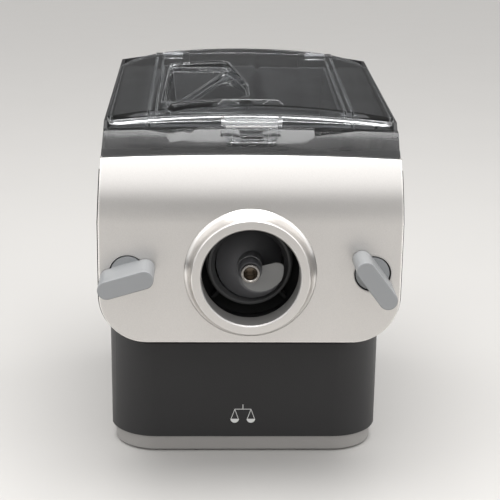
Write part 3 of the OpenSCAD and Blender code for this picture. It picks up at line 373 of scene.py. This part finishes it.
# Pieces finished from the solids: each takes a solid's mesh, merges its loose triangles to whole faces
# and rounds, in mm, the edges sharper than an angle. The body is the housing where none is named.
usualAngle = 35
finishedPieces = {
    "silverPanel": {"node": "front_panel", "slot": "silver_panel", "round": 0.3, "angle": 40},
    "tubeRing": {"node": "panel_ring", "slot": "polished_ring", "round": 0.35, "angle": 25},
    "bodyShell": {"node": "main_housing", "slot": "dark_housing", "round": 0.4},
    "baseRim": {"node": "base_tray", "slot": "grey_base", "round": 0.5},
    "windowBand": {"node": "front_window", "slot": "smoked_window", "round": 0.3, "angle": 30},
    "deck": {"node": "top_frame", "slot": "dark_housing", "round": 0.25},
    "rearCap": {"node": "rear_top_cover", "slot": "dark_housing", "round": 0.4},
    "rearPlate": {"node": "rear_cover", "slot": "dark_housing", "round": 0.3},
    "keyPlate": {"node": "control_panel", "slot": "black_gloss", "round": 0.2},
    "clearLid": {"node": "lid_shell", "body": "lid", "slot": "clear_lid", "round": 0.35, "angle": 30},
    "latchFlap": {"node": "lid_latch", "body": "latch", "slot": "clear_lid", "round": 0.35, "angle": 30,
                  "finish": "clearLatch"},
    "leftWing": {"node": "left_knob", "body": "left_knob", "slot": "knob_grey", "round": 0.3, "angle": 25},
    "rightWing": {"node": "right_knob", "body": "right_knob", "slot": "knob_grey", "round": 0.3, "angle": 25},
    "powerKey": {"node": "power_button", "body": "power_key", "slot": "key_silver", "round": 0.4},
    "programKey": {"node": "program_button", "body": "program_key", "slot": "key_grey", "round": 0.4},
    "weighKey": {"node": "weigh_button", "body": "weigh_key", "slot": "key_grey", "round": 0.4},
    "extrudeKey": {"node": "extrude_button", "body": "extrude_key", "slot": "key_grey", "round": 0.4},
    "startKey": {"node": "start_button", "body": "start_key", "slot": "key_silver", "round": 0.4},
    "kneader": {"node": "extrusion_screw", "body": "drive", "slot": "screw_grey", "round": 0.25, "angle": 50},
    "steelBush": {"node": "screw_bush", "body": "drive", "slot": "bright_steel", "round": 0.4},
}
cleaning = {
    "merge": 0.00001,  # metres between corners that become one
    "thin": 0.00002,  # metres below which an edge is dropped
    "flat": 0.5,  # degrees between faces that become one
    "smooth": 38,  # degrees up to which faces shade as one surface
}


def addPiece(name, bm, slotName, body, finish=None):
    mesh = bpy.data.meshes.new(name)
    bm.to_mesh(mesh)
    bm.free()
    piece = bpy.data.objects.new(name, mesh)
    bpy.context.scene.collection.objects.link(piece)
    mesh.materials.append(finishes[finish or slotName])
    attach(piece, body)
    return piece


def finishNode(name, s):
    bm = bmesh.new()
    bm.from_mesh(nodes[s["node"]].data)
    bmesh.ops.remove_doubles(bm, verts=bm.verts, dist=cleaning["merge"])
    bmesh.ops.dissolve_degenerate(bm, dist=cleaning["thin"], edges=bm.edges)
    bmesh.ops.dissolve_limit(bm, angle_limit=math.radians(cleaning["flat"]), verts=bm.verts, edges=bm.edges)
    limit = math.radians(s.get("angle", usualAngle))
    sharp = [e for e in bm.edges if len(e.link_faces) == 2 and e.calc_face_angle(0) > limit]
    bmesh.ops.bevel(bm, geom=sharp, offset=s["round"] * mm, offset_type="OFFSET", segments=2, profile=0.5,
                    affect="EDGES", clamp_overlap=True, material=-1)
    for face in bm.faces:
        face.smooth = True
    piece = addPiece(name, bm, s["slot"], s.get("body", "housing"), s.get("finish"))
    piece.data.set_sharp_from_angle(angle=math.radians(cleaning["smooth"]))
    shade = piece.modifiers.new("shade", "WEIGHTED_NORMAL")
    shade.keep_sharp = True
    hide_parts(s["node"])
    return len(sharp), len(piece.data.polygons)


for name, s in finishedPieces.items():
    print("finished", name, *finishNode(name, s))

gapShadowSettings = {
    "face": -144.5,  # front of the panel
    "half": 107.5,  # half the panel's width
    "low": 127,
    "corner": 34,
    "cornerSteps": 16,
    "bend": 215,  # height at which the panel starts to curve back
    "bendRadius": 98,
    "rise": 23,  # degrees of that curve that the strip follows
    "riseSteps": 10,
    "lean": 0.045,  # how much narrower the panel gets on its way up the curve
    "proud": 0.98,
    "sunk": 0.3,
    "front": 3.4,
    "deep": 2.2,
    "round": 0.15,
    "sharp": 1,  # radians above which an edge is rounded
}


# A thin dark strip that follows the panel's edge behind its face, seen as a line outside it: a painted shadow
# for the shaded gap around the panel.
def makeGapShadow(s):
    bm = bmesh.new()
    y = s["face"] + s["front"] + s["deep"] / 2
    straight = s["half"] - s["corner"]
    level = s["low"] + s["corner"]
    bmesh.ops.create_grid(bm, x_segments=1, y_segments=1, size=0.5)
    x = -s["half"] + s["sunk"] / 2 - s["proud"] / 2
    fit = Matrix.Translation((x, y, s["bend"])) @ Matrix.Diagonal((s["sunk"] + s["proud"], s["deep"], 1, 1))
    bmesh.ops.transform(bm, matrix=fit, verts=bm.verts)
    first = bm.faces[:]

    def drawOn(faces, move):
        grown = bmesh.ops.extrude_face_region(bm, geom=faces)["geom"]
        verts = [g for g in grown if isinstance(g, bmesh.types.BMVert)]
        bmesh.ops.translate(bm, vec=move, verts=verts)
        return [g for g in grown if isinstance(g, bmesh.types.BMFace)]

    def turnOn(faces, centre, axis, angle, steps):
        geom = list({v for f in faces for v in f.verts} | {e for f in faces for e in f.edges}) + faces
        last = bmesh.ops.spin(bm, geom=geom, cent=centre, axis=axis, angle=math.radians(angle), steps=steps)
        return [g for g in last["geom_last"] if isinstance(g, bmesh.types.BMFace)]

    bendCentre = (0, s["face"] + s["bendRadius"], s["bend"])
    faces = drawOn(first, (0, 0, level - s["bend"]))
    faces = turnOn(faces, (-straight, y, level), (0, -1, 0), 90, s["cornerSteps"])
    faces = drawOn(faces, (2 * straight, 0, 0))
    faces = turnOn(faces, (straight, y, level), (0, -1, 0), 90, s["cornerSteps"])
    faces = drawOn(faces, (0, 0, s["bend"] - level))
    turnOn(faces, bendCentre, (-1, 0, 0), s["rise"], s["riseSteps"])
    turnOn([f for f in bm.faces if f in first], bendCentre, (-1, 0, 0), s["rise"], s["riseSteps"])
    for vert in bm.verts:
        over = max(0, vert.co.z - s["bend"])
        vert.co.x -= math.copysign(over * s["lean"], vert.co.x)
    bmesh.ops.transform(bm, matrix=Matrix.Scale(mm, 4), verts=bm.verts)
    bmesh.ops.recalc_face_normals(bm, faces=bm.faces)
    edges = [e for e in bm.edges if e.calc_face_angle(0) > s["sharp"]]
    bmesh.ops.bevel(bm, geom=edges, offset=s["round"] * mm, segments=1, profile=0.5, affect="EDGES",
                    material=-1)
    # the black rubber finish makes the strip a painted shadow line outside the panel's edge
    addPiece("panelGapShadow", bm, "black_rubber", "housing")


makeGapShadow(gapShadowSettings)
print("gapShadow made")

# Faces that carry signs: a point near each, its tilt about X, and how far off it a sign starts.
signFaces = {
    "bodyFront": {"point": (-1.4, -120, 37.1), "tilt": 90, "above": 0},
    "lidTop": {"point": (0, -117.5, 281.5), "tilt": 3.2, "above": 30},
    "keyPlate": {"point": (0, 138, 295.8), "tilt": -9, "above": 10},
}
printHeight = 0.06

# Seven strokes of a digit, by name, in a cell 3.6 wide and 7 high.
strokes = {
    "top": ((-1.3, 3.4), (1.3, 3.4)), "middle": ((-1.3, 0), (1.3, 0)), "foot": ((-1.3, -3.4), (1.3, -3.4)),
    "leftHigh": ((-1.7, 0.4), (-1.7, 3.0)), "leftLow": ((-1.7, -3.0), (-1.7, -0.4)),
    "rightHigh": ((1.7, 0.4), (1.7, 3.0)), "rightLow": ((1.7, -3.0), (1.7, -0.4)),
}
digits = {
    "0": ("top", "foot", "leftHigh", "leftLow", "rightHigh", "rightLow"),
    "1": ("rightHigh", "rightLow"),
    "5": ("top", "leftHigh", "middle", "rightLow", "foot"),
}


def timeBars(shown, width):
    bars = []
    for middle, digit in shown:
        for (x0, y0), (x1, y1) in (strokes[stroke] for stroke in digits[digit]):
            bars.append(((middle + x0, y0), (middle + x1, y1), width))
    return bars


# Each sign is drawn flat in bars, which have two ends and a width, and arcs, which have a centre,
# an inner and an outer radius, a first angle, a sweep and a number of steps.
palePrint = {"slot": "key_silver", "finish": "printPale"}
marks = {
    "balanceSign": {  # a post, a beam and two hanging pans
        "under": "main_housing", "body": "housing", "face": "bodyFront", "at": (0, 0), **palePrint,
        "bars": [((0, 0.2), (0, 4.1), 0.55), ((-6.5, 0), (6.5, 0), 0.5),
                 ((-6.5, -0.1), (-9.4, -8.3), 0.45), ((-6.5, -0.1), (-3.6, -8.3), 0.45),
                 ((6.5, -0.1), (3.6, -8.3), 0.45), ((6.5, -0.1), (9.4, -8.3), 0.45)],
        "arcs": [((-6.5, -8.4), 0.05, 3.4, 180, 180, 16), ((6.5, -8.4), 0.05, 3.4, 180, 180, 16)],
    },
    "lidGrip": {  # low ridges on the lid's front that the fingers find
        "under": "lid_shell", "body": "lid", "face": "lidTop", "at": (0, 0), "slot": "clear_lid",
        "thick": 0.4,
        "bars": [((-23, 14.5), (-20, 27), 0.8), ((-20, 27), (20, 27), 0.8), ((20, 27), (23, 14.5), 0.8),
                 ((-14, 26), (-9, 15), 0.8), ((14, 26), (9, 15), 0.8)],
    },
    "displayDigits": {
        "under": "display_window", "body": "housing", "face": "keyPlate", "at": (0, 10), **palePrint,
        "bars": timeBars(((-10.5, "1"), (-4.5, "5"), (4.5, "0"), (10.5, "0")), 0.6),
        "arcs": [((0, -1.5), 0.05, 0.45, 0, 360, 12), ((0, 1.5), 0.05, 0.45, 0, 360, 12)],
    },
    "powerSign": {
        "under": "power_button", "body": "power_key", "face": "keyPlate", "at": (-57, -10.5),
        "slot": "black_gloss",
        "bars": [((0, 0.6), (0, 2.7), 0.5)],
        "arcs": [((0, 0), 1.9, 2.35, 120, 300, 16)],
    },
    "programSign": {
        "under": "program_button", "body": "program_key", "face": "keyPlate", "at": (-28.5, -10.5),
        **palePrint,
        "bars": [((-1.9, -1.3), (1.9, -1.3), 0.5), ((-1.9, 0), (1.9, 0), 0.5),
                 ((-1.9, 1.3), (1.9, 1.3), 0.5)],
    },
    "weighSign": {
        "under": "weigh_button", "body": "weigh_key", "face": "keyPlate", "at": (0, -10.5), **palePrint,
        "bars": [((-2, 1), (2, 1), 0.45), ((0, -2), (0, 1.8), 0.45)],
        "arcs": [((-1.7, -0.2), 0.05, 0.9, 180, 180, 8), ((1.7, -0.2), 0.05, 0.9, 180, 180, 8)],
    },
    "extrudeSign": {
        "under": "extrude_button", "body": "extrude_key", "face": "keyPlate", "at": (28.5, -10.5),
        **palePrint,
        "bars": [((-1.4, -2), (-1.4, 2), 0.45), ((0, -2), (0, 2), 0.45), ((1.4, -2), (1.4, 2), 0.45)],
    },
    "startSign": {
        "under": "start_button", "body": "start_key", "face": "keyPlate", "at": (57, -10.5),
        "slot": "black_gloss",
        "bars": [((-1.5, -2.2), (-1.5, 2.2), 0.55), ((-1.6, 2.2), (2.3, 0), 0.55),
                 ((-1.6, -2.2), (2.3, 0), 0.55)],
    },
}


def addBar(bm, a, b, width):
    start, end = Vector((*a, 0)), Vector((*b, 0))
    along = end - start
    made = bmesh.ops.create_grid(bm, x_segments=4, y_segments=1, size=0.5)["verts"]
    turn = Matrix.Rotation(math.atan2(along.y, along.x), 4, "Z")
    fit = Matrix.Translation((start + end) / 2) @ turn @ Matrix.Diagonal((along.length, width, 1, 1))
    bmesh.ops.transform(bm, matrix=fit, verts=made)


def addArc(bm, centre, inner, outer, start, sweep, steps):
    angle = math.radians(start)
    ends = [bm.verts.new((centre[0] + r * math.cos(angle), centre[1] + r * math.sin(angle), 0))
            for r in (inner, outer)]
    edge = bm.edges.new(ends)
    bmesh.ops.spin(bm, geom=ends + [edge], cent=(*centre, 0), axis=(0, 0, 1), angle=math.radians(sweep),
                   steps=steps)


# Draws a sign, brings it above its place and lays it on the surface there.
def layMark(name, s):
    bm = bmesh.new()
    for bar in s["bars"]:
        addBar(bm, *bar)
    for arc in s.get("arcs", ()):
        addArc(bm, *arc)
    ground = signFaces[s["face"]]
    tilt = Matrix.Rotation(math.radians(ground["tilt"]), 4, "X")
    place = Matrix.Translation(ground["point"]) @ tilt @ Matrix.Translation((*s["at"], ground["above"]))
    bmesh.ops.transform(bm, matrix=Matrix.Scale(mm, 4) @ place, verts=bm.verts)
    solid = bmesh.new()
    solid.from_mesh(nodes[s["under"]].data)
    tree = BVHTree.FromBMesh(solid)
    solid.free()
    down = tilt.to_3x3() @ Vector((0, 0, -1))
    for vert in bm.verts:
        vert.co = tree.ray_cast(vert.co, down)[0] - down * printHeight * mm
    bmesh.ops.recalc_face_normals(bm, faces=bm.faces)
    for face in bm.faces:
        if face.normal.dot(down) > 0:
            face.normal_flip()
    if "thick" in s:
        bmesh.ops.solidify(bm, geom=bm.faces, thickness=-s["thick"] * mm)
    addPiece(name, bm, s["slot"], s["body"], s.get("finish"))


for name, s in marks.items():
    layMark(name, s)
print("marks laid:", len(marks))

# The camera sees a pale floor and backdrop. What the object mirrors has a dark band along the
# horizon in front and a dark wall behind, as in a studio with flags.
studio = {
    "floorSize": 8,
    "floor": (0.44, 0.43, 0.415),
    "seenFloor": (0.5, 0.488, 0.472),
    "farFloor": (0.1, 0.1, 0.1),
    "farReach": (-0.85, -1.6),  # along Y
    "sideFloor": (0.95, 0.94, 0.92),
    "sideReach": (0.28, 0.6),  # to either side
    "backdrop": 0.8,
    "dark": 0.05,
    "sky": 1.5,
    "horizon": (0.06, 0.34),  # from dark to sky
    "behind": (0.1, 0.75, 1, 0.1),  # the wall: reach along Y, then strength at both ends
    "above": (0.75, 0.95, 0, 0.9),
    "sides": (0.7, 0.95, 0, 1.3),
    "aim": (0, 0, 0.15),
    "lamps": {
        "overhead": {"place": (0.0, -0.35, 1.6), "size": 1.1, "watts": 24.5},
        "left": {"place": (-1.3, -1.0, 1.1), "size": 1.0, "watts": 4},
        "right": {"place": (1.3, -1.0, 1.1), "size": 1.0, "watts": 4},
    },
}


def makeFloor(s):
    bm = bmesh.new()
    bmesh.ops.create_grid(bm, x_segments=1, y_segments=1, size=s["floorSize"])
    mesh = bpy.data.meshes.new("floor")
    bm.to_mesh(mesh)
    bm.free()
    floor = bpy.data.objects.new("floor", mesh)
    bpy.context.scene.collection.objects.link(floor)
    material = makeFinish("paleFloor", s["floor"], 0.6, grain=30, bump=0.0, cloud=0.02, wearAndHighlight=0, speck=0.01)
    mesh.materials.append(material)
    tree = material.node_tree
    colour = tree.nodes["Principled BSDF"].inputs["Base Color"]
    rays = addNode(tree, "ShaderNodeLightPath").outputs
    place = addNode(tree, "ShaderNodeTexCoord").outputs["Object"]
    split = addNode(tree, "ShaderNodeSeparateXYZ", place).outputs
    far = addRamp(tree, split["Y"], *s["farReach"], blend="SMOOTHSTEP")
    aside = addRamp(tree, addMath(tree, "ABSOLUTE", split["X"]), *s["sideReach"], blend="SMOOTHSTEP")
    shown = colour.links[0].from_socket
    for part, tint in ((far, "farFloor"), (aside, "sideFloor")):
        mirrored = addMath(tree, "MULTIPLY", part, rays["Is Glossy Ray"])
        shown = addMix(tree, mirrored, shown, rgba(s[tint]))
    feed(colour, addMix(tree, rays["Is Camera Ray"], shown, rgba(s["seenFloor"])))


def makeLight(s):
    world = bpy.data.worlds.new("studio")
    bpy.context.scene.world = world
    world.use_nodes = True
    tree = world.node_tree
    back = tree.nodes["Background"]
    back.inputs["Color"].default_value = (1, 1, 1, 1)
    place = addNode(tree, "ShaderNodeTexCoord").outputs["Generated"]
    split = addNode(tree, "ShaderNodeSeparateXYZ", place).outputs
    height = addRamp(tree, split["Z"], *s["horizon"], s["dark"], s["sky"], blend="SMOOTHSTEP")
    behind = addRamp(tree, split["Y"], *s["behind"], blend="SMOOTHSTEP")
    above = addRamp(tree, split["Z"], *s["above"], blend="SMOOTHSTEP")
    sides = addRamp(tree, addMath(tree, "ABSOLUTE", split["X"]), *s["sides"], blend="SMOOTHSTEP")
    walls = addMath(tree, "MULTIPLY", height, behind)
    mirrored = addMath(tree, "MAXIMUM", addMath(tree, "MAXIMUM", walls, above), sides)
    seen = addNode(tree, "ShaderNodeLightPath").outputs["Is Camera Ray"]
    feed(back.inputs["Strength"], addMix(tree, seen, mirrored, s["backdrop"], "FLOAT"))
    for name, lampSettings in s["lamps"].items():
        data = bpy.data.lights.new(name, "AREA")
        data.shape = "SQUARE"
        data.size = lampSettings["size"]
        data.energy = lampSettings["watts"]
        lamp = bpy.data.objects.new(name, data)
        bpy.context.scene.collection.objects.link(lamp)
        lamp.location = lampSettings["place"]
        aim = Vector(s["aim"]) - Vector(lampSettings["place"])
        lamp.rotation_euler = aim.to_track_quat("-Z", "Y").to_euler()


makeFloor(studio)
makeLight(studio)
bpy.context.scene.view_settings.view_transform = "Standard"
print("studio set")
